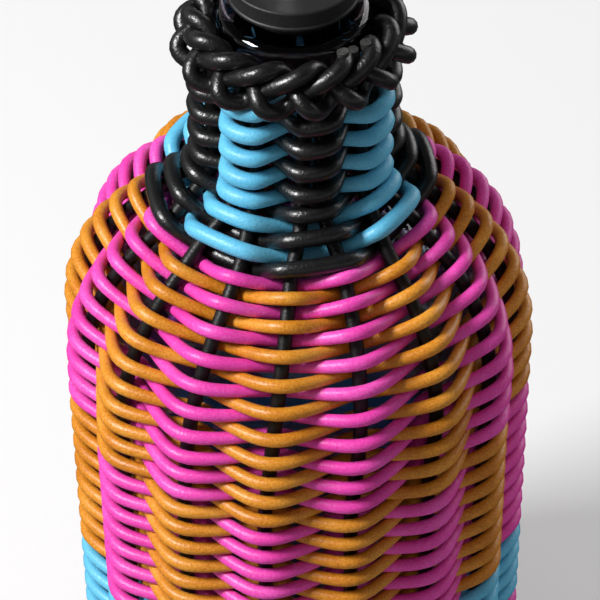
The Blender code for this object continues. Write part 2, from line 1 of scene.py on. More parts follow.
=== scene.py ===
"""The looks of an oil pourer: a glass bottle in a hand-woven cord sleeve, with a spout in its mouth.

Metres, +Z up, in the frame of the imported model. The sleeve follows one line down the neck and the body
and in under the base. Stakes run along that line, and weavers run round it over one stake and behind
the next, so most of the pieces here are round cords whose routes come from the same few sizes.
"""
import logging
import math
from bisect import bisect
from collections.abc import Callable, Sequence
from dataclasses import dataclass, field
from enum import Enum
from itertools import accumulate

import bmesh
import bpy
from mathutils import Matrix, Vector


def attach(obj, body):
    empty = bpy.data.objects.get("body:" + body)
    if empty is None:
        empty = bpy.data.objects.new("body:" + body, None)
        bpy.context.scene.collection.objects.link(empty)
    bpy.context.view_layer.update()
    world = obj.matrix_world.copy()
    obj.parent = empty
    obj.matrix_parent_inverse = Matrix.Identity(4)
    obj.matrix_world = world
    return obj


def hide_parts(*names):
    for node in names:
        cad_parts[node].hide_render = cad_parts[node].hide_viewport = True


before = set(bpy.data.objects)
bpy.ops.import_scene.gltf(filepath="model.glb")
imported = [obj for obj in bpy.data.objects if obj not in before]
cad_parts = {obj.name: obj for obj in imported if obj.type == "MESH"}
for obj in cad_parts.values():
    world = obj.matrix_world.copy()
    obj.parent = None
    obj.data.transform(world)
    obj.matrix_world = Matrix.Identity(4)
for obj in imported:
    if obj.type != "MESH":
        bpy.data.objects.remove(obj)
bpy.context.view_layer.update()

MM = 0.001
MERGE = 0.002 * MM
LOG = logging.getLogger("oil_pourer")
Triple = tuple[float, float, float]
Span = tuple[float, float]
Outline = list[tuple[float, float]]
Corners = Sequence[tuple[float, float] | Vector]
Socket = bpy.types.NodeSocket


class Graph:
    """A shader node tree that nodes are added to and linked in."""

    def __init__(self, tree: bpy.types.NodeTree) -> None:
        """Take the tree to build in."""
        self.tree = tree

    def node(self, kind: str, inputs: dict | None = None, **settings: object) -> bpy.types.Node:
        """Add a node.

        Args:
            kind: the node's type, without the ShaderNode in front.
            inputs: values or sockets for its inputs, by name or number.
            settings: the node's own properties.

        Returns:
            The new node.
        """
        made = self.tree.nodes.new(f"ShaderNode{kind}")
        for name, value in settings.items():
            setattr(made, name, value)
        for name, value in (inputs or {}).items():
            if isinstance(value, Socket):
                self.tree.links.new(value, made.inputs[name])
            else:
                made.inputs[name].default_value = value
        return made

    def noise(self, place: Socket, scale: float | Socket, detail: float, roughness: float = 0.5) -> Socket:
        """Return the factor of a noise texture."""
        inputs = {"Vector": place, "Scale": scale, "Detail": detail, "Roughness": roughness}
        return self.node("TexNoise", inputs).outputs["Fac"]

    def remap(self, value: Socket, span: Span, low: float, high: float | Socket) -> Socket:
        """Return a value with one span of it stretched to another."""
        inputs = {"Value": value, "From Min": span[0], "From Max": span[1], "To Min": low, "To Max": high}
        return self.node("MapRange", inputs).outputs["Result"]

    def mix(self, factor: float | Socket, first: float | Socket, second: float | Socket) -> Socket:
        """Return a mix of two values."""
        return self.node("Mix", {"Factor": factor, 2: first, 3: second}).outputs[0]

    def blend(self, factor: Socket, first: Triple | Socket, second: Triple) -> Socket:
        """Return a mix of two colours."""
        start = first if isinstance(first, Socket) else (*first, 1.0)
        return self.node("Mix", {"Factor": factor, 6: start, 7: (*second, 1.0)}, data_type="RGBA").outputs[2]

    def ramp(self, factor: Socket, stops: Sequence[tuple[float, Triple]]) -> Socket:
        """Add a colour ramp.

        Args:
            factor: what it reads.
            stops: places from 0 to 1 with their linear colours.

        Returns:
            Its colour socket.
        """
        made = self.node("ValToRGB", {"Fac": factor})
        elements = made.color_ramp.elements
        while len(elements) < len(stops):
            elements.new(1.0)
        for element, (place, colour) in zip(elements, stops):
            element.position = place
            element.color = (*colour, 1.0)
        return made.outputs["Color"]

    def surface(self, colour: Socket, rough: Socket, height: Socket, depth: float) -> bpy.types.Node:
        """Feed the tree's shader with what changes over the surface.

        Args:
            colour: its base colour.
            rough: its roughness.
            height: the relief that tilts its normal.
            depth: how deep that relief is.

        Returns:
            The shader.
        """
        shader = self.tree.nodes["Principled BSDF"]
        bump = self.node("Bump", {"Height": height, "Distance": depth})
        feeds = {"Base Color": colour, "Roughness": rough, "Normal": bump.outputs["Normal"]}
        for name, socket in feeds.items():
            self.tree.links.new(socket, shader.inputs[name])
        return shader


@dataclass(frozen=True)
class Grain:
    """The pebbled skin that moulded and extruded plastic has. Scales are in features per metre."""

    name: str = "plastic_grain"
    pebble_share: float = 0.55
    drift_scale: float = 90.0
    mottle_scale: float = 2300.0
    mottle_share: float = 0.5
    speck_scale: float = 1700.0
    speck_span: Span = (0.58, 0.72)

    def group(self) -> bpy.types.ShaderNodeTree:
        """Return the node group, made once.

        Returns:
            A group that takes the grain's size and gives its Height, a drifting Tone and small Specks.
        """
        found = bpy.data.node_groups.get(self.name)
        if found:
            return found
        tree = bpy.data.node_groups.new(self.name, "ShaderNodeTree")
        tree.interface.new_socket("Grains per metre", in_out="INPUT", socket_type="NodeSocketFloat")
        for name in ("Height", "Tone", "Specks"):
            tree.interface.new_socket(name, in_out="OUTPUT", socket_type="NodeSocketFloat")
        graph = Graph(tree)
        grains = tree.nodes.new("NodeGroupInput").outputs[0]
        place = graph.node("TexCoord").outputs["Object"]
        fine = graph.noise(place, grains, detail=2.0, roughness=0.6)
        pebbles = graph.node("TexVoronoi", {"Vector": place, "Scale": grains}, feature="SMOOTH_F1")
        drift = graph.noise(place, self.drift_scale, detail=3.0, roughness=0.55)
        mottle = graph.noise(place, self.mottle_scale, detail=1.5, roughness=0.6)
        specks = graph.noise(place, self.speck_scale, detail=1.0)
        results = {
            "Height": graph.mix(self.pebble_share, fine, pebbles.outputs["Distance"]),
            "Tone": graph.mix(self.mottle_share, drift, mottle),
            "Specks": graph.remap(specks, self.speck_span, 0.0, 1.0),
        }
        out = tree.nodes.new("NodeGroupOutput")
        for name, socket in results.items():
            tree.links.new(socket, out.inputs[name])
        return tree


@dataclass(frozen=True)
class Finish:
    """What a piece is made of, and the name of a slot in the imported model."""

    name: str
    slot: str

    def wire(self, graph: Graph) -> None:
        """Add the nodes of this finish to the graph of its new material."""
        raise NotImplementedError

    def material(self) -> bpy.types.Material:
        """Return this finish's material, made the first time that it is asked for."""
        made = bpy.data.materials.get(self.name)
        if made is None:
            made = bpy.data.materials.new(self.name)
            made.use_nodes = True
            self.wire(Graph(made.node_tree))
        return made


@dataclass(frozen=True)
class PlasticFinish(Finish):
    """Satin or matt plastic or rubber with a grained skin.

    Colours are linear: the body's own colour, a darker one and a paler one that it drifts between.
    """

    colour: Triple
    dark: Triple
    pale: Triple
    roughness: float
    grains: float
    depth: float
    spread: float = 0.14
    specks: float = 0.0
    shine: float = 0.5
    drift: float = 0.14

    def wire(self, graph: Graph) -> None:
        """Wire the grained skin.

        Args:
            graph: the graph of the new material.
        """
        grain = graph.node("Group", {0: self.grains}, node_tree=Grain().group()).outputs
        tone = graph.ramp(grain["Tone"], (
            (0.5 - self.drift, self.dark), (0.5, self.colour), (0.5 + self.drift, self.pale),
        ))
        lifted = graph.node("Math", {0: grain["Specks"], 1: self.specks}, operation="MULTIPLY")
        worn = graph.blend(lifted.outputs[0], tone, self.pale)
        smooth, dull = self.roughness - self.spread / 2, self.roughness + self.spread / 2
        rough = graph.remap(grain["Height"], (0.0, 1.0), smooth, dull)
        shader = graph.surface(worn, rough, grain["Height"], self.depth)
        shader.inputs["Specular IOR Level"].default_value = self.shine


INK = ((0.0036, 0.0036, 0.0038), (0.0026,) * 3, (0.008, 0.008, 0.0085))


class Cord(Enum):
    """The sorts of plastic cord, and the other plastics."""

    BLACK = PlasticFinish(
        "black_cord", "cord_black", *INK, roughness=0.36, grains=2000.0, depth=0.10 * MM, spread=0.24,
        specks=0.6, shine=0.8,
    )
    STAKE = PlasticFinish(
        "stake_cord", "stake_black", *INK, roughness=0.46, grains=2400.0, depth=0.085 * MM, spread=0.2,
        specks=0.5, shine=0.4,
    )
    CUT = PlasticFinish(
        "cut_cord", "cord_black", (0.020, 0.020, 0.019), (0.008,) * 3, (0.070, 0.070, 0.067),
        roughness=0.55, grains=2400.0, depth=0.085 * MM, specks=0.5,
    )
    BLUE = PlasticFinish(
        "blue_cord", "cord_blue", (0.120, 0.500, 0.740), (0.095, 0.430, 0.670), (0.160, 0.570, 0.810),
        roughness=0.42, grains=2200.0, depth=0.09 * MM,
    )
    MAGENTA = PlasticFinish(
        "magenta_cord", "cord_magenta", (0.840, 0.058, 0.430), (0.740, 0.038, 0.350),
        (0.880, 0.115, 0.530), roughness=0.42, grains=2200.0, depth=0.09 * MM, specks=0.2,
    )
    ORANGE = PlasticFinish(
        "orange_cord", "cord_orange", (0.640, 0.232, 0.013), (0.490, 0.150, 0.006),
        (0.780, 0.350, 0.045), roughness=0.40, grains=2200.0, depth=0.09 * MM, specks=0.3,
    )
    CAP = PlasticFinish(
        "matt_black_plastic", "plastic_black", (0.011, 0.011, 0.0115), (0.008,) * 3,
        (0.017, 0.017, 0.018), roughness=0.52, grains=4200.0, depth=0.03 * MM,
    )
    RUBBER = PlasticFinish(
        "plug_rubber", "rubber_black", (0.016,) * 3, (0.012,) * 3, (0.024,) * 3,
        roughness=0.78, grains=3600.0, depth=0.02 * MM,
    )


@dataclass(frozen=True)
class GlassFinish(Finish):
    """Bottle glass with faint mould ripples, a dusty body and a clean neck, tinted blue-grey and mauve by
    painted reflections.
    """

    # Painted reflections: these tints stand for the cords seen reflected in the glass, blue-grey on the body
    # and mauve on the neck.
    body_painted_reflection_tint: Triple = (0.50, 0.66, 0.82)
    neck_painted_reflection_tint: Triple = (0.66, 0.52, 0.60)
    body_dust: float = 0.38
    neck_dust: float = 0.03
    shoulder: Span = (0.150, 0.185)
    smear_scale: float = 45.0
    smear_span: Span = (0.35, 0.75)
    ripple_scale: float = 120.0
    ripple_depth: float = 0.012 * MM
    ior: float = 1.5

    def wire(self, graph: Graph) -> None:
        """Wire the glass, whose painted reflection tint and dust change over the shoulder.

        Args:
            graph: the graph of the new material.
        """
        place = graph.node("TexCoord").outputs["Object"]
        height = graph.node("SeparateXYZ", {"Vector": place}).outputs["Z"]
        neck = graph.remap(height, self.shoulder, 0.0, 1.0)
        # Painted reflection: the tint turns from blue-grey to mauve over the shoulder in place of the cords
        # reflected in the glass.
        painted_reflection_tint = graph.blend(neck, self.body_painted_reflection_tint, self.neck_painted_reflection_tint)
        dust = graph.mix(neck, self.body_dust, self.neck_dust)
        smear = graph.noise(place, self.smear_scale, detail=4.0, roughness=0.65)
        rough = graph.remap(smear, self.smear_span, 0.0, dust)
        ripple = graph.noise(place, self.ripple_scale, detail=1.0)
        shader = graph.surface(painted_reflection_tint, rough, ripple, self.ripple_depth)
        shader.inputs["IOR"].default_value = self.ior
        shader.inputs["Transmission Weight"].default_value = 1.0


@dataclass(frozen=True)
class SteelFinish(Finish):
    """Polished steel with fine drawn lines and a few rubbed patches."""

    colour: Triple = (0.80, 0.79, 0.77)
    dull: float = 0.82
    dull_span: Span = (0.3, 0.65)
    smooth: float = 0.12
    rubbed: float = 0.30
    rubbed_span: Span = (0.35, 0.7)
    patch_scale: float = 160.0
    line_scale: Triple = (6000.0, 6000.0, 260.0)
    line_depth: float = 0.006 * MM

    def wire(self, graph: Graph) -> None:
        """Wire the steel.

        Args:
            graph: the graph of the new material.
        """
        place = graph.node("TexCoord").outputs["Object"]
        patches = graph.noise(place, self.patch_scale, detail=4.0)
        rough = graph.remap(patches, self.rubbed_span, self.smooth, self.rubbed)
        shades = (tuple(c * self.dull for c in self.colour), self.colour)
        tone = graph.ramp(patches, tuple(zip(self.dull_span, shades)))
        drawn = graph.node("Mapping", {"Vector": place, "Scale": self.line_scale})
        lines = graph.noise(drawn.outputs["Vector"], 1.0, detail=2.0)
        shader = graph.surface(tone, rough, lines, self.line_depth)
        shader.inputs["Metallic"].default_value = 1.0


GLASS = GlassFinish("clear_glass", "glass")
STEEL = SteelFinish("polished_steel", "steel")


def linked(name: str, data: bpy.types.ID) -> bpy.types.Object:
    """Return a new object with this data, linked to the scene."""
    made = bpy.data.objects.new(name, data)
    bpy.context.scene.collection.objects.link(made)
    return made


@dataclass(frozen=True)
class Piece:
    """A piece to make: its name, the node that it stands for, the body that it rides on and its finish."""

    name: str
    node: str
    body: str
    finish: Finish

    def dress(self, data: bpy.types.Curve | bpy.types.Mesh) -> None:
        """Link an object with this data, give it its finish and its body, and hide the node that it
        replaces.

        Args:
            data: its curve or mesh.
        """
        piece = linked(self.name, data)
        data.materials.append(self.finish.material())
        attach(piece, self.body)
        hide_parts(self.node)
        LOG.info("%s rides on %s for %s", self.name, self.body, self.node)

    def lay(
        self, runs: Sequence[Sequence[Vector]], radius: float, closed: bool = False,
        squeeze: Sequence[float] = (),
    ) -> None:
        """Lay round cord, as a curve with a bevel.

        Args:
            runs: a row of points for each length of cord.
            radius: half the cord's thickness.
            closed: whether each run is joined end to end.
            squeeze: the share of that thickness at each point, where the cord is pressed thinner.
        """
        curve = bpy.data.curves.new(self.name, "CURVE")
        curve.dimensions = "3D"
        curve.twist_mode = "MINIMUM"
        curve.bevel_depth = radius
        curve.bevel_resolution = 4
        curve.use_fill_caps = True
        for points in runs:
            spline = curve.splines.new("POLY")
            spline.points.add(len(points) - 1)
            for target, point in zip(spline.points, points):
                target.co = (*point, 1.0)
            for target, share in zip(spline.points, squeeze):
                target.radius = share
            spline.use_cyclic_u = closed
            spline.use_smooth = True
        self.dress(curve)

    def shape(self, build: Callable[[bmesh.types.BMesh], None], sharp: float = 35.0) -> None:
        """Make a mesh with its faces pointing out.

        Args:
            build: the function that fills its bmesh.
            sharp: the angle in degrees past which an edge is shaded sharp.
        """
        shape = bmesh.new()
        build(shape)
        bmesh.ops.remove_doubles(shape, verts=shape.verts, dist=MERGE)
        bmesh.ops.recalc_face_normals(shape, faces=shape.faces)
        if shape.calc_volume(signed=True) < 0.0:
            bmesh.ops.reverse_faces(shape, faces=shape.faces)
        mesh = bpy.data.meshes.new(self.name)
        shape.to_mesh(mesh)
        shape.free()
        mesh.shade_smooth()
        mesh.set_sharp_from_angle(angle=math.radians(sharp))
        self.dress(mesh)

    def turn(
        self, outline: Corners, segments: int, place: Matrix | None = None, sharp: float = 35.0,
    ) -> None:
        """Make a mesh by turning a closed outline about Z.

        Args:
            outline: its (radius, height) corners.
            segments: steps in the full turn.
            place: where the turned shape is put.
            sharp: the angle in degrees past which an edge is shaded sharp.
        """
        def build(shape: bmesh.types.BMesh) -> None:
            """Spin the outline and put it in its place.

            Args:
                shape: the bmesh to fill.
            """
            verts = [shape.verts.new((r, 0.0, z)) for r, z in outline]
            edges = [shape.edges.new(pair) for pair in zip(verts, verts[1:] + verts[:1])]
            bmesh.ops.spin(
                shape, geom=verts + edges, cent=(0.0, 0.0, 0.0), axis=(0.0, 0.0, 1.0),
                angle=2 * math.pi, steps=segments, use_merge=True,
            )
            if place is not None:
                bmesh.ops.transform(shape, matrix=place, verts=shape.verts)

        self.shape(build, sharp)


def push(shape: bmesh.types.BMesh, faces: list, way: Vector) -> list:
    """Extrude faces along a way, with none left behind.

    Args:
        shape: the bmesh that they are in.
        faces: the faces.
        way: how far and where they go.

    Returns:
        The geometry that moved.
    """
    moved = bmesh.ops.extrude_face_region(shape, geom=faces)["geom"]
    bmesh.ops.translate(shape, verts=[g for g in moved if isinstance(g, bmesh.types.BMVert)], vec=way)
    bmesh.ops.delete(shape, geom=faces, context="FACES_ONLY")
    return moved


def cord(node: str, kind: Cord, part: str = "cord") -> Piece:
    """Return the piece for a cord on the bottle, named for its node."""
    return Piece(f"{node}_{part}", node, "bottle", kind.value)


def around(angle: float, radius: float, height: float) -> Vector:
    """Return the point at an angle, a radius and a height about the bottle's middle line."""
    return Vector((radius * math.cos(angle), radius * math.sin(angle), height))


def rounded_line(corners: Corners, radii: Sequence[float], step: float) -> list[Vector]:
    """Round the inner corners of a line of (radius, height) corners.

    Args:
        corners: the corners, in order.
        radii: the rounding of each inner corner.
        step: the length of a chord along the arcs.

    Returns:
        The points of the rounded line.
    """
    points = [Vector(corners[0])]
    for before, corner, after, radius in zip(corners, corners[1:], corners[2:], radii):
        a = (Vector(before) - Vector(corner)).normalized()
        b = (Vector(after) - Vector(corner)).normalized()
        half = a.angle(b) / 2
        centre = Vector(corner) + (a + b).normalized() * (radius / math.sin(half))
        start = Vector(corner) + a * (radius / math.tan(half)) - centre
        turn = (math.pi - 2 * half) * (-1 if a.x * b.y - a.y * b.x > 0 else 1)
        count = max(3, round(radius * abs(turn) / step))
        points += [centre + Matrix.Rotation(turn * i / count, 2) @ start for i in range(count + 1)]
    points.append(Vector(corners[-1]))
    return points


def shifted(corners: Corners, distance: float) -> Outline:
    """Shift each run of a line of corners to its outer side, and find where the shifted runs meet.

    Args:
        corners: the line's corners.
        distance: how far, and inwards if it is negative.

    Returns:
        The corners of the shifted line.
    """
    runs = []
    for start, end in zip(corners, corners[1:]):
        along = (Vector(end) - Vector(start)).normalized()
        shift = Vector((-along.y, along.x)) * distance
        runs.append((Vector(start) + shift, along))
    met = [tuple(runs[0][0])]
    for (a, u), (c, v) in zip(runs, runs[1:]):
        share = ((c.x - a.x) * v.y - (c.y - a.y) * v.x) / (u.x * v.y - u.y * v.x)
        met.append(tuple(a + u * share))
    last = Vector(corners[-1]) - Vector(corners[-2])
    met.append(tuple(runs[-1][0] + last))
    return met


@dataclass
class BottleLine:
    """The outside of the glass, as corners that its roundings and the sleeve start from."""

    neck_r: float = 11.5 * MM
    neck_corner_z: float = 172.5 * MM
    body_corner_z: float = 144.8 * MM
    body_r: float = 40.0 * MM
    neck_fillet: float = 17.0 * MM
    body_fillet: float = 35.5 * MM

    def corners(self, top_z: float, floor_z: float, floor_r: float) -> Outline:
        """Find the corners from the neck to the base.

        Args:
            top_z: the height that they start from on the neck.
            floor_z: the height of the base.
            floor_r: the radius that they end at under the base.

        Returns:
            The corners.
        """
        return [
            (self.neck_r, top_z), (self.neck_r, self.neck_corner_z), (self.body_r, self.body_corner_z),
            (self.body_r, floor_z), (floor_r, floor_z),
        ]


@dataclass
class SleeveLine:
    """The line of the stakes' centres down the bottle, and places on the sleeve measured from it."""

    bottle: BottleLine
    lift: float = 4.847 * MM
    top_z: float = 204.4 * MM
    base_z: float = 7.0 * MM
    inner_r: float = 13.2 * MM
    foot_fillet: float = 7.0 * MM
    stakes: int = 16
    first_angle: float = math.radians(70.1)
    lean: float = math.radians(-11.8)
    lean_length: float = 100.0 * MM
    pinch: float = math.radians(4.75)
    pinch_end: float = 42.77 * MM
    pinch_fade: float = 12.0 * MM
    step: float = 0.4 * MM
    ahead: int = 4
    behind: int = 3
    points: list[Vector] = field(init=False)
    lengths: list[float] = field(init=False)

    def __post_init__(self) -> None:
        """Work out the line's points and the length to each of them."""
        corners = self.bottle.corners(self.top_z, self.base_z + self.lift, self.inner_r)
        radii = (
            self.bottle.neck_fillet - self.lift, self.bottle.body_fillet + self.lift, self.foot_fillet,
        )
        rough = rounded_line(shifted(corners, self.lift), radii, self.step)
        self.points = [rough[0]]
        for end in rough[1:]:
            start = self.points[-1]
            count = max(1, round((end - start).length / self.step))
            self.points += [start.lerp(end, i / count) for i in range(1, count + 1)]
        chords = ((end - start).length for start, end in zip(self.points, self.points[1:]))
        self.lengths = list(accumulate(chords, initial=0.0))

    @property
    def length(self) -> float:
        """The whole length of the line."""
        return self.lengths[-1]

    def at(self, s: float) -> tuple[Vector, Vector]:
        """Find a place on the line.

        Args:
            s: the length from the border.

        Returns:
            The point and the unit normal out of the bottle, both as (radius, height).
        """
        s = min(max(s, 0.0), self.length)
        low = min(bisect(self.lengths, s), len(self.lengths) - 1) - 1
        share = (s - self.lengths[low]) / (self.lengths[low + 1] - self.lengths[low])
        point = self.points[low].lerp(self.points[low + 1], share)
        ahead = self.points[min(low + self.ahead, len(self.points) - 1)]
        along = (ahead - self.points[max(low - self.behind, 0)]).normalized()
        return point, Vector((-along.y, along.x))

    def angle(self, index: int, s: float) -> float:
        """Find the angle of a stake. They are counted clockwise, seen from above.

        Args:
            index: the stake.
            s: the length from the border.

        Returns:
            The angle in radians.
        """
        fade = min(max((self.pinch_end - s) / self.pinch_fade, 0.0), 1.0)
        pinch = self.pinch * fade * (1 if index % 2 == 0 else -1)
        lean = self.lean * min(s / self.lean_length, 1.0)
        return self.first_angle + lean - pinch - index * 2 * math.pi / self.stakes

    def place(self, index: float, s: float, lift: float, turn: float = 0.0) -> Vector:
        """Find a place on the sleeve.

        Args:
            index: the stake, or a share of the way from one stake to the next.
            s: the length from the border.
            lift: how far out from the stakes' line.
            turn: a further turn round the bottle.

        Returns:
            The point in space.
        """
        flat, normal = self.at(s)
        before = math.floor(index)
        share = index - before
        angle = self.angle(before, s) * (1 - share) + self.angle(before + 1, s) * share - turn
        return around(angle, flat.x + normal.x * lift, flat.y + normal.y * lift)


@dataclass(frozen=True)
class Weave:
    """How a cord lies over and behind the stakes, and how thick it is."""

    radius: float = 1.40 * MM
    out: float = 3.1 * MM
    inside: float = 3.1 * MM
    wrap: float = 0.0
    sharpness: float = 0.05
    squeeze: float = 0.07
    bulge: float = 0.0


@dataclass
class Weaver:
    """One weaver: a cord that winds round over a group of stakes and behind the next group."""

    name: str
    sleeve: SleeveLine
    kind: Cord
    start: float
    turns: int
    row: float
    over_even: bool
    group: int
    weave: Weave
    steps: int = 10

    def ends(self) -> tuple[int, int]:
        """Return the first and the last stake, which the cord both ends behind."""
        joins = {1: ((1, 1), (-2, -2)), 2: ((7, -1), (1, -3))}
        first, end = joins[self.group][0 if self.over_even else 1]
        return first, end + self.turns * self.sleeve.stakes

    def over(self, index: int) -> bool:
        """Say whether the cord goes over a stake."""
        return (index // self.group % 2 == 0) == self.over_even

    def lift(self, index: int) -> float:
        """Return how far out the cord lies at a stake."""
        return self.weave.out if self.over(index) else -self.weave.inside

    def length(self, index: float) -> float:
        """Return the length down the sleeve at a stake."""
        return self.start + 2 * self.row * index / self.sleeve.stakes

    def place(self, index: float) -> Vector:
        """Find a place on the cord.

        Over single stakes it goes in a wave with its tips a little sharpened. Round pairs of stakes it
        bends on a curve through its tips, each turned a little away from its stake.

        Args:
            index: the stake, or a share of the way to the next.

        Returns:
            The point in space.
        """
        before = math.floor(index)
        share = index - before
        if self.group == 1:
            k = self.weave.sharpness
            way = (1 - (math.cos(math.pi * share) + k * math.cos(3 * math.pi * share)) / (1 + k)) / 2
            lift = self.lift(before) * (1 - way) + self.lift(before + 1) * way
            return self.sleeve.place(index, self.length(index), lift)
        a, b, c, d = (
            self.sleeve.place(i, self.length(i), self.lift(i), self.weave.wrap * (-1 if i % 2 == 0 else 1))
            for i in range(before - 1, before + 3)
        )
        square, cube = share * share, share ** 3
        leave, reach = (c - a) * self.weave.bulge, (d - b) * self.weave.bulge
        return (
            b * (2 * cube - 3 * square + 1) + leave * (cube - 2 * square + share)
            + c * (3 * square - 2 * cube) + reach * (cube - square)
        )

    def press(self, index: float) -> float:
        """Find how far the cord is pressed, which it is where it passes its neighbour.

        Args:
            index: the stake, or a share of the way to the next.

        Returns:
            The share of its thickness that is left.
        """
        before = math.floor(index)
        if self.over(before) == self.over(before + 1):
            return 1.0
        return 1.0 - self.weave.squeeze * math.sin(math.pi * (index - before)) ** 2

    def build(self) -> None:
        """Lay the cord."""
        first, last = self.ends()
        places = [first + step / self.steps for step in range((last - first) * self.steps + 1)]
        run, squeeze = [self.place(i) for i in places], [self.press(i) for i in places]
        cord(self.name, self.kind).lay([run], self.weave.radius, squeeze=squeeze)


@dataclass
class WeaveZone:
    """Two weavers that chase each other round the bottle, each over the stakes that the other is behind."""

    name: str
    turns: int
    row: float
    first: Cord
    second: Cord
    weave: Weave
    group: int = 1

    def build(self, sleeve: SleeveLine, start: float) -> float:
        """Make both weavers.

        Args:
            sleeve: the line that they follow.
            start: the length at which the zone starts.

        Returns:
            The length at which the next zone starts.
        """
        one, other = self.first.name.lower(), self.second.name.lower()
        tag = "" if one != other else "second_"
        lanes = (
            (f"{self.name}_{one}_weaver", self.first, start, True),
            (f"{self.name}_{tag}{other}_weaver", self.second, start + self.row, False),
        )
        for name, kind, begin, even in lanes:
            Weaver(name, sleeve, kind, begin, self.turns, self.row, even, self.group, self.weave).build()
        return start + 2 * self.row * self.turns


@dataclass
class Stakes:
    """The upright cords, from the border to the middle of the base."""

    sleeve: SleeveLine
    radius: float = 1.5 * MM
    step: float = 1.5 * MM

    def build(self) -> None:
        """Make each stake as its own cord."""
        count = math.ceil(self.sleeve.length / self.step)
        for index in range(self.sleeve.stakes):
            run = [self.sleeve.place(index, self.sleeve.length * i / count, 0.0) for i in range(count + 1)]
            cord(f"stake_{index + 1:02d}", Cord.STAKE).lay([run], self.radius)


@dataclass
class PlaitedBorder:
    """The plait round the top of the neck: one thick cord that goes round three times.

    Each strand loops down round the lower edge, rises to the right under the next loop, and then lies
    long on the outside until it turns in at the top. Cut ends of cord stand inside it, each given by its
    angle in degrees and its radius and height in mm.
    """

    radius: float = 19.6 * MM
    height: float = 205.6 * MM
    width: float = 4.1 * MM
    depth: float = 1.75 * MM
    stretch: float = 0.5
    slow_at: float = math.radians(20.0)
    phase: float = math.radians(4.5)
    tilt: float = math.radians(25.0)
    strands: int = 3
    crossings: int = 16
    cord_r: float = 1.75 * MM
    points_round: int = 240
    cuts: tuple[Triple, ...] = ((-59.0, 17.6, 211.8), (-49.5, 16.9, 210.4), (-41.5, 18.0, 211.4))
    cut_r: float = 1.15 * MM
    cut_foot_z: float = 205.0 * MM
    cut_lean: float = 0.05
    cut_splay: float = 0.5 * MM

    def place(self, angle: float) -> Vector:
        """Find a place on the cord.

        Args:
            angle: the angle gone round the bottle, from none to three turns.

        Returns:
            The point in space.
        """
        steady = self.crossings / self.strands * angle + self.phase
        wave = steady + self.stretch * math.sin(steady - self.slow_at)
        across = self.width * math.sin(wave)
        out = self.depth * math.sin(2 * wave)
        radius = self.radius + across * math.sin(self.tilt) + out * math.cos(self.tilt)
        height = self.height - across * math.cos(self.tilt) + out * math.sin(self.tilt)
        return around(angle, radius, height)

    def build(self) -> None:
        """Make the plait and the cut ends of cord that stand inside it."""
        count = self.points_round * self.strands
        run = [self.place(2 * math.pi * self.strands * i / count) for i in range(count)]
        cord("plaited_border", Cord.BLACK).lay([run], self.cord_r, closed=True)
        runs = []
        for degrees, radius, top in self.cuts:
            angle = math.radians(degrees)
            foot = around(angle + self.cut_lean, radius * MM + self.cut_splay, self.cut_foot_z)
            head = around(angle, radius * MM, top * MM)
            runs.append([foot, (foot + head) / 2, head])
        cord("plaited_border", Cord.CUT, "cut_ends").lay(runs, self.cut_r)


@dataclass
class FootRing:
    """The two cords twisted together that the bottle stands on."""

    radius: float = 36.4 * MM
    cord_r: float = 1.3 * MM
    twists: int = 30
    points_round: int = 600

    def build(self) -> None:
        """Make both cords of the twist."""
        runs = []
        for phase in (0.0, math.pi):
            run = []
            for i in range(self.points_round):
                angle = 2 * math.pi * i / self.points_round
                twist = self.twists * angle + phase
                height = 2 * self.cord_r + self.cord_r * math.sin(twist)
                run.append(around(angle, self.radius + self.cord_r * math.cos(twist), height))
            runs.append(run)
        cord("foot_ring", Cord.BLACK).lay(runs, self.cord_r, closed=True)


@dataclass
class BaseCross:
    """The rods that cross in the middle of the base."""

    sleeve: SleeveLine
    rods: int = 4
    rod_r: float = 1.5 * MM
    gap: float = 0.3 * MM

    def build(self) -> None:
        """Make each rod, in two layers that cross."""
        pitch = 2 * self.rod_r + self.gap
        for layer, lift, turned in (("lower", -pitch / 2, False), ("upper", pitch / 2, True)):
            for i in range(self.rods):
                side = (i - (self.rods - 1) / 2) * pitch
                half = math.sqrt((self.sleeve.inner_r - self.gap) ** 2 - (abs(side) + self.rod_r) ** 2)
                height = self.sleeve.base_z + lift
                places = (-half, -half / 2, 0.0, half / 2, half)
                run = [Vector((x, side, height) if turned else (side, x, height)) for x in places]
                cord(f"base_rod_{layer}_{i + 1}", Cord.STAKE).lay([run], self.rod_r)


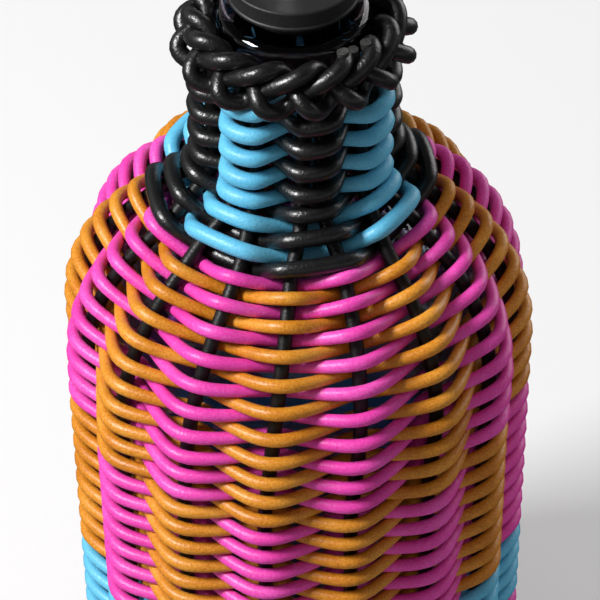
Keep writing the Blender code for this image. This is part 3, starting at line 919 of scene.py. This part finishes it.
@dataclass
class Sleeve:
    """The whole woven sleeve."""

    line: SleeveLine
    first_row: float = 2.45 * MM
    neck_row: float = 2.88 * MM
    shoulder_row: float = 2.73 * MM
    body_row: float = 2.75 * MM
    base_row: float = 2.45 * MM
    base_rows_r: float = 32.7 * MM
    base_turns: int = 2

    def zones(self) -> list[WeaveZone]:
        """Return the woven zones from the border down to the foot."""
        neck = Weave(
            radius=1.70 * MM, out=2.95 * MM, inside=3.08 * MM, wrap=math.radians(3.0), squeeze=0.12,
            bulge=0.40,
        )
        weave, body = Weave(), self.body_row
        return [
            WeaveZone("neck", 7, self.neck_row, Cord.BLUE, Cord.BLACK, neck, group=2),
            WeaveZone("upper", 10, self.shoulder_row, Cord.MAGENTA, Cord.ORANGE, weave),
            WeaveZone("middle", 8, body, Cord.ORANGE, Cord.MAGENTA, weave),
            WeaveZone("band", 4, body, Cord.BLUE, Cord.BLUE, weave),
            WeaveZone("lower", 6, body, Cord.ORANGE, Cord.MAGENTA, weave),
            WeaveZone("foot", 2, body, Cord.BLACK, Cord.BLACK, weave),
        ]

    def build(self) -> None:
        """Make the zones, the base, the stakes, the border and the foot."""
        start = self.first_row
        for zone in self.zones():
            start = zone.build(self.line, start)
        self.build_base_rows()
        Stakes(self.line).build()
        PlaitedBorder().build()
        FootRing().build()
        BaseCross(self.line).build()

    def build_base_rows(self) -> None:
        """Make the two weavers that go round flat under the base."""
        row, turns = self.base_row, self.base_turns
        start = self.line.length - (self.base_rows_r - self.line.inner_r)
        weave = Weave(radius=1.2 * MM, out=2.9 * MM, inside=2.9 * MM)
        for name, shift, even in (("base_weaver", 0.0, True), ("base_second_weaver", row, False)):
            Weaver(name, self.line, Cord.BLACK, start + shift, turns, row, even, 1, weave).build()


@dataclass
class GlassBottle:
    """The blown bottle: one wall, open at the lip, with a punt under its floor."""

    line: BottleLine
    wall: float = 2.4 * MM
    floor: float = 4.5 * MM
    heel_z: float = 11.847 * MM
    heel_r: float = 5.0 * MM
    punt: float = 3.0 * MM
    punt_edge: float = 1.2 * MM
    lip_r: float = 15.0 * MM
    lip_height: float = 7.0 * MM
    lip_top: float = 211.6 * MM
    lip_round: float = 2.2 * MM
    lip_under: float = 1.2 * MM
    mouth_round: float = 0.9 * MM
    floor_round: float = 4.0 * MM
    step: float = 0.5 * MM

    def outline(self) -> Outline:
        """Return the closed outline of the wall, from the axis under the floor and back to it inside."""
        line, wall = self.line, self.wall
        bore, punt_r = line.neck_r - wall, line.body_r / 2
        lip_low, floor_z = self.lip_top - self.lip_height, self.heel_z + self.floor
        outer = line.corners(lip_low, self.heel_z, punt_r)
        inner = shifted(outer[:-1], -wall)[:-1]
        inner[0] = (bore, lip_low)
        inner += [
            (line.body_r - wall, floor_z), (punt_r, floor_z + self.punt_edge), (0.0, floor_z + self.punt),
        ]
        outer[-1:] = [(punt_r, self.heel_z + self.punt_edge), (0.0, self.heel_z + self.punt)]
        outer_radii = (line.neck_fillet, line.body_fillet, self.heel_r, self.floor_round)
        inner_radii = (
            line.neck_fillet + wall, line.body_fillet - wall, self.heel_r - wall / 2, self.floor_round,
        )
        outside = rounded_line(outer, outer_radii, self.step)
        inside = rounded_line(inner, inner_radii, self.step)
        lip = rounded_line(
            [
                (line.neck_r, lip_low), (self.lip_r, lip_low + self.lip_under / 2),
                (self.lip_r, self.lip_top), (bore, self.lip_top), (bore, lip_low),
            ],
            (self.lip_under, self.lip_round, self.mouth_round), self.step / 2,
        )
        joined = [*reversed(outside), *lip[1:-1], *inside]
        return [(max(p.x, 0.0), p.y) for p in joined]

    def build(self) -> None:
        """Make the glass."""
        Piece("bottle_glass", "glass_bottle", "bottle", GLASS).turn(self.outline(), 128, sharp=60.0)


@dataclass
class Pourer:
    """The stopper with its spout and its air tube."""

    lip_top: float = 211.6 * MM
    gap: float = 0.3 * MM
    standoff: float = 3.1 * MM
    flange_r: float = 12.9 * MM
    flange_top_r: float = 12.6 * MM
    flange_t: float = 4.2 * MM
    flange_land: float = 0.6 * MM
    flange_slope: float = 0.2 * MM
    flange_sink: float = 0.15 * MM
    flange_rounds: tuple[float, ...] = tuple(r * MM for r in (0.2, 0.2, 0.1, 0.45, 0.4, 0.25))
    hub_foot: float = 2.2 * MM
    hub_top: float = 1.6 * MM
    hub_rise: float = 0.5 * MM
    plug_length: float = 25.0 * MM
    plug_core_r: float = 7.7 * MM
    plug_fins: int = 5
    plug_round: float = 0.5 * MM
    fin_t: float = 1.3 * MM
    fin_slope: float = 0.8 * MM
    fin_back: float = 0.4 * MM
    fin_round: float = 0.15 * MM
    bore_r: float = 9.1 * MM
    spout_r: float = 3.2 * MM
    spout_wall: float = 0.6 * MM
    spout_rise: float = 12.0 * MM
    bend_r: float = 16.0 * MM
    bend: float = math.radians(48.0)
    reach: float = 15.0 * MM
    tail: float = 2.0 * MM
    air_r: float = 1.0 * MM
    air_wall: float = 0.4 * MM
    air_offset: float = 5.5 * MM
    air_above: float = 3.0 * MM
    air_below: float = 4.0 * MM
    air_round: float = 0.15 * MM

    @property
    def seat(self) -> float:
        """The height of the flange's underside."""
        return self.lip_top + self.standoff

    @property
    def top(self) -> float:
        """The height of the flange's top."""
        return self.seat + self.flange_t

    @property
    def plug_bottom(self) -> float:
        """The height of the plug's lower end."""
        return self.lip_top - self.plug_length

    def mouth(self) -> tuple[Vector, Vector]:
        """Return the middle of the spout's mouth and the direction that it points in."""
        start = self.top + self.spout_rise
        along = Vector((math.sin(self.bend), 0.0, math.cos(self.bend)))
        corner = Vector((
            self.bend_r * (1 - math.cos(self.bend)), 0.0, start + self.bend_r * math.sin(self.bend),
        ))
        return corner + along * self.reach, along

    def build_flange(self) -> None:
        """Make the disc over the lip, with a thin rim line below and a hub round the spout."""
        hole, seat = self.spout_r + self.gap, self.seat
        land, deck, hub = seat + self.flange_land, self.top - self.flange_sink, self.top + self.hub_rise
        corners = [
            (hole, seat), (self.flange_r, seat), (self.flange_r, land),
            (self.flange_top_r, land + self.flange_slope), (self.flange_top_r, deck),
            (hole + self.hub_foot, deck), (hole + self.hub_top, hub), (hole, hub),
        ]
        outline = rounded_line(corners, self.flange_rounds, 0.1 * MM)
        Piece("pourer_flange_disc", "pourer_flange", "pourer", Cord.CAP.value).turn(outline, 96)

    def build_plug(self) -> None:
        """Make the rubber plug with its sloping fins."""
        hole = self.spout_r + self.gap
        fin_r = self.bore_r - self.gap
        pitch = (self.plug_length - 2 * self.fin_t) / self.plug_fins
        corners = [(hole, self.plug_bottom), (self.plug_core_r, self.plug_bottom)]
        for i in range(self.plug_fins):
            low = self.plug_bottom + self.fin_t + i * pitch
            corners += [
                (self.plug_core_r, low), (fin_r, low + self.fin_slope), (fin_r, low + self.fin_t),
                (self.plug_core_r, low + self.fin_t + self.fin_back),
            ]
        corners += [(self.plug_core_r, self.seat - self.gap), (hole, self.seat - self.gap)]
        radii = (self.plug_round, *([self.fin_round] * (4 * self.plug_fins + 1)))
        outline = rounded_line(corners, radii, 0.15 * MM)
        Piece("rubber_plug_fins", "rubber_plug", "pourer", Cord.RUBBER.value).turn(outline, 64)

    def build_spout(self) -> None:
        """Make the bent spout by pushing a ring up, round the bend and out to its mouth."""
        low = self.plug_bottom - self.tail
        start = self.top + self.spout_rise
        along = self.mouth()[1]
        inner = self.spout_r - self.spout_wall

        def build(shape: bmesh.types.BMesh) -> None:
            """Sweep the ring between the two walls.

            Args:
                shape: the bmesh to fill.
            """
            for r in (self.spout_r, inner):
                bmesh.ops.create_circle(
                    shape, segments=48, radius=r, matrix=Matrix.Translation((0.0, 0.0, low)),
                )
            ring = bmesh.ops.bridge_loops(shape, edges=shape.edges[:])["faces"]
            straight = push(shape, ring, Vector((0.0, 0.0, start - low)))
            bent = bmesh.ops.spin(
                shape, geom=straight, cent=(self.bend_r, 0.0, start), axis=(0.0, 1.0, 0.0),
                angle=self.bend, steps=24, use_merge=False,
            )["geom_last"]
            push(shape, [g for g in bent if isinstance(g, bmesh.types.BMFace)], along * self.reach)
            bmesh.ops.holes_fill(shape, edges=[e for e in shape.edges if e.is_boundary], sides=0)

        Piece("pour_spout_tube", "pour_spout", "pourer", STEEL).shape(build)

    def build_air_tube(self) -> None:
        """Make the thin air tube."""
        low, high = self.plug_bottom - self.air_below, self.top + self.air_above
        inner = self.air_r - self.air_wall
        corners = [(inner, low), (self.air_r, low), (self.air_r, high), (inner, high), (inner, low + MM)]
        outline = rounded_line(corners, (self.air_round,) * 3, 0.08 * MM)
        place = Matrix.Translation((-self.air_offset, 0.0, 0.0))
        Piece("air_tube_pipe", "air_tube", "pourer", STEEL).turn(outline, 32, place)

    def build(self) -> None:
        """Make every piece of the pourer."""
        self.build_flange()
        self.build_plug()
        self.build_spout()
        self.build_air_tube()


@dataclass
class Flap:
    """The weighted flap over the spout's mouth, with its pin and the collar that carries it.

    The lid's dome is given as shares of its radius and rise, and a head of the pin in mm from its middle.
    """

    pourer: Pourer
    hinge_back: float = 6.4 * MM
    mouth_gap: float = 0.35 * MM
    lid_t: float = 0.9 * MM
    dome_r: float = 3.4 * MM
    dome_rise: float = 0.45 * MM
    dome_curve: tuple[Span, ...] = ((1.0, 0.0), (0.85, 0.45), (0.5, 0.85), (0.0, 1.0))
    weight_arm: float = 5.4 * MM
    weight_r: float = 1.36 * MM
    weight_half: float = 3.2 * MM
    weight_round: float = 0.5 * MM
    head_curve: tuple[Span, ...] = ((0.0, 3.3), (1.0, 3.3), (1.0, 3.75), (0.7, 4.03), (0.0, 4.15))
    edge: float = 0.14 * MM
    flat: float = math.radians(2.0)
    corner: float = math.radians(40.0)

    def frame(self) -> Matrix:
        """Return the frame at the spout's mouth, with Z out of it and Y along the hinge."""
        mouth, along = self.pourer.mouth()
        side = Vector((0.0, 1.0, 0.0))
        return Matrix.Translation(mouth) @ Matrix((side.cross(along), side, along)).transposed().to_4x4()

    def eased(self, node: str, body: str) -> None:
        """Make a piece from a node's own shape, with its sharp edges broken.

        Args:
            node: the node's name.
            body: the body that it rides on.
        """
        def build(shape: bmesh.types.BMesh) -> None:
            """Merge the node's triangles into flat faces and bevel the edges between them.

            Args:
                shape: the bmesh to fill.
            """
            shape.from_mesh(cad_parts[node].data)
            bmesh.ops.remove_doubles(shape, verts=shape.verts, dist=MERGE)
            bmesh.ops.dissolve_limit(shape, angle_limit=self.flat, verts=shape.verts, edges=shape.edges)
            corners = [e for e in shape.edges if e.is_manifold and e.calc_face_angle() > self.corner]
            bmesh.ops.bevel(
                shape, geom=corners, offset=self.edge, offset_type="OFFSET", affect="EDGES", segments=2,
                profile=0.5, material=-1, clamp_overlap=True,
            )

        Piece(f"{node}_steel", node, body, STEEL).shape(build)

    def build(self) -> None:
        """Make the collar, the pin with its two heads, the lid with its dome, and the weight."""
        for node, body in (("flap_collar", "pourer"), ("flap_pin", "pourer"), ("flap_lid", "flap")):
            self.eased(node, body)
        mouth, across = self.frame(), Matrix.Rotation(math.pi / 2, 4, "X")
        middle, top = self.mouth_gap + self.lid_t / 2, self.mouth_gap + self.lid_t
        dome = [(0.0, middle), (self.dome_r, middle)]
        dome += [(self.dome_r * share, top + self.dome_rise * rise) for share, rise in self.dome_curve]
        Piece("flap_lid_dome", "flap_lid", "flap", STEEL).turn(dome, 48, mouth)
        half, r = self.weight_half, self.weight_r
        corners = [(0.0, -half), (r, -half), (r, half), (0.0, half)]
        weight = rounded_line(corners, (self.weight_round,) * 2, 0.12 * MM)
        place = mouth @ Matrix.Translation((-self.hinge_back - self.weight_arm, 0.0, middle)) @ across
        Piece("flap_weight", "flap_lid", "flap", STEEL).turn(weight, 48, place)
        head = [(r * MM, z * MM) for r, z in self.head_curve]
        pin = mouth @ Matrix.Translation((-self.hinge_back, 0.0, middle))
        for name, side in (("flap_pin_head", -1.0), ("flap_pin_far_head", 1.0)):
            place = pin @ Matrix.Diagonal((1.0, side, 1.0, 1.0)) @ across
            Piece(name, "flap_pin", "pourer", STEEL).turn(head, 48, place)


@dataclass
class Studio:
    """The camera, the lamps and the pale floor. Each lamp has a name, a place, a size and its watts."""

    aim: Vector = field(default_factory=lambda: Vector((0.562 * MM, 0.0, 133.1 * MM)))
    distance: float = 642.7 * MM
    elevation: float = math.radians(43.67)
    roll: float = math.radians(-0.65)
    focal_px: float = 3081.6
    frame_px: float = 600.0
    floor_seen: float = 0.59
    floor_bounce: float = 0.36
    floor_shine: float = 0.05
    floor_glow: float = 0.255
    far_glow: float = 0.80
    ambient: float = 0.27
    overhead_shine: float = 0.04
    backdrop_shine: float = 0.32
    horizon: Span = (0.15, 0.5)
    floor_half: float = 6.0
    floor_fade: Span = (0.6, 2.2)
    floor_roughness: float = 0.9
    sensor: float = 36.0
    clip: Span = (0.01, 20.0)
    lamps: tuple[tuple, ...] = (
        ("key", (-0.82, -0.24, 0.98), 0.34, 18.5),
        ("back", (0.75, 0.75, 0.45), 0.8, 4.5),
    )

    def build_camera(self) -> None:
        """Place the camera at the photograph's viewing angle."""
        data = bpy.data.cameras.new("camera")
        data.sensor_width = self.sensor
        data.lens = data.sensor_width * self.focal_px / self.frame_px
        data.clip_start, data.clip_end = self.clip
        camera = linked("camera", data)
        back = Vector((0.0, -math.cos(self.elevation), math.sin(self.elevation)))
        turn = (-back).to_track_quat("-Z", "Y").to_matrix().to_4x4() @ Matrix.Rotation(self.roll, 4, "Z")
        camera.matrix_world = Matrix.Translation(self.aim + back * self.distance) @ turn
        bpy.context.scene.camera = camera

    def lamp(self, name: str, place: tuple[float, float, float], size: float, power: float) -> None:
        """Hang a square soft lamp that points at the bottle.

        Args:
            name: the lamp's name.
            place: where it hangs.
            size: its side.
            power: watts.
        """
        data = bpy.data.lights.new(name, "AREA")
        data.shape = "SQUARE"
        data.size = size
        data.energy = power
        lamp = linked(name, data)
        lamp.location = place
        lamp.rotation_euler = (self.aim - Vector(place)).to_track_quat("-Z", "Y").to_euler()

    def build_floor(self) -> None:
        """Lay a wide pale floor.

        The camera sees it paler than the light that it gives back, and fading to white with distance.
        """
        mesh = bpy.data.meshes.new("floor")
        shape = bmesh.new()
        bmesh.ops.create_grid(shape, x_segments=1, y_segments=1, size=self.floor_half)
        shape.to_mesh(mesh)
        shape.free()
        floor = linked("floor", mesh)
        made = bpy.data.materials.new("pale_floor")
        made.use_nodes = True
        graph = Graph(made.node_tree)
        path = graph.node("LightPath").outputs
        given = graph.blend(path["Is Glossy Ray"], (self.floor_bounce,) * 3, (self.floor_shine,) * 3)
        seen = graph.blend(path["Is Camera Ray"], given, (self.floor_seen,) * 3)
        reach = graph.node("VectorMath", {0: graph.node("TexCoord").outputs["Object"]}, operation="LENGTH")
        level = graph.remap(reach.outputs["Value"], self.floor_fade, self.floor_glow, self.far_glow)
        glow = graph.node("Math", {0: path["Is Camera Ray"], 1: level}, operation="MULTIPLY")
        shader = made.node_tree.nodes["Principled BSDF"]
        made.node_tree.links.new(seen, shader.inputs["Base Color"])
        made.node_tree.links.new(glow.outputs[0], shader.inputs["Emission Strength"])
        shader.inputs["Emission Color"].default_value = (1.0, 1.0, 1.0, 1.0)
        shader.inputs["Roughness"].default_value = self.floor_roughness
        mesh.materials.append(made)

    def build_world(self) -> None:
        """Set a white surround that lights the bottle a little and that gloss shows near the horizon."""
        world = bpy.data.worlds.new("studio")
        world.use_nodes = True
        graph = Graph(world.node_tree)
        path = graph.node("LightPath").outputs
        seen = graph.node("Math", {
            0: path["Is Camera Ray"], 1: path["Is Transmission Ray"],
        }, operation="MAXIMUM")
        way = graph.node("SeparateXYZ", {"Vector": graph.node("TexCoord").outputs["Generated"]})
        backdrop = graph.remap(way.outputs["Z"], self.horizon, self.backdrop_shine, self.overhead_shine)
        shine = graph.mix(path["Is Glossy Ray"], self.ambient, backdrop)
        background = world.node_tree.nodes["Background"]
        background.inputs["Color"].default_value = (1.0, 1.0, 1.0, 1.0)
        world.node_tree.links.new(graph.mix(seen.outputs[0], shine, 1.0), background.inputs["Strength"])
        bpy.context.scene.world = world

    def build(self) -> None:
        """Set the camera, the world, the lamps and the floor."""
        bpy.context.scene.view_settings.view_transform = "Standard"
        self.build_camera()
        self.build_world()
        for lamp in self.lamps:
            self.lamp(*lamp)
        self.build_floor()


def main() -> None:
    """Build the studio, the bottle, its sleeve and the pourer."""
    logging.basicConfig(level=logging.INFO, format="%(name)s: %(message)s")
    Studio().build()
    line = BottleLine()
    GlassBottle(line).build()
    Sleeve(SleeveLine(line)).build()
    pourer = Pourer()
    pourer.build()
    Flap(pourer).build()


if __name__ == "__main__":
    main()
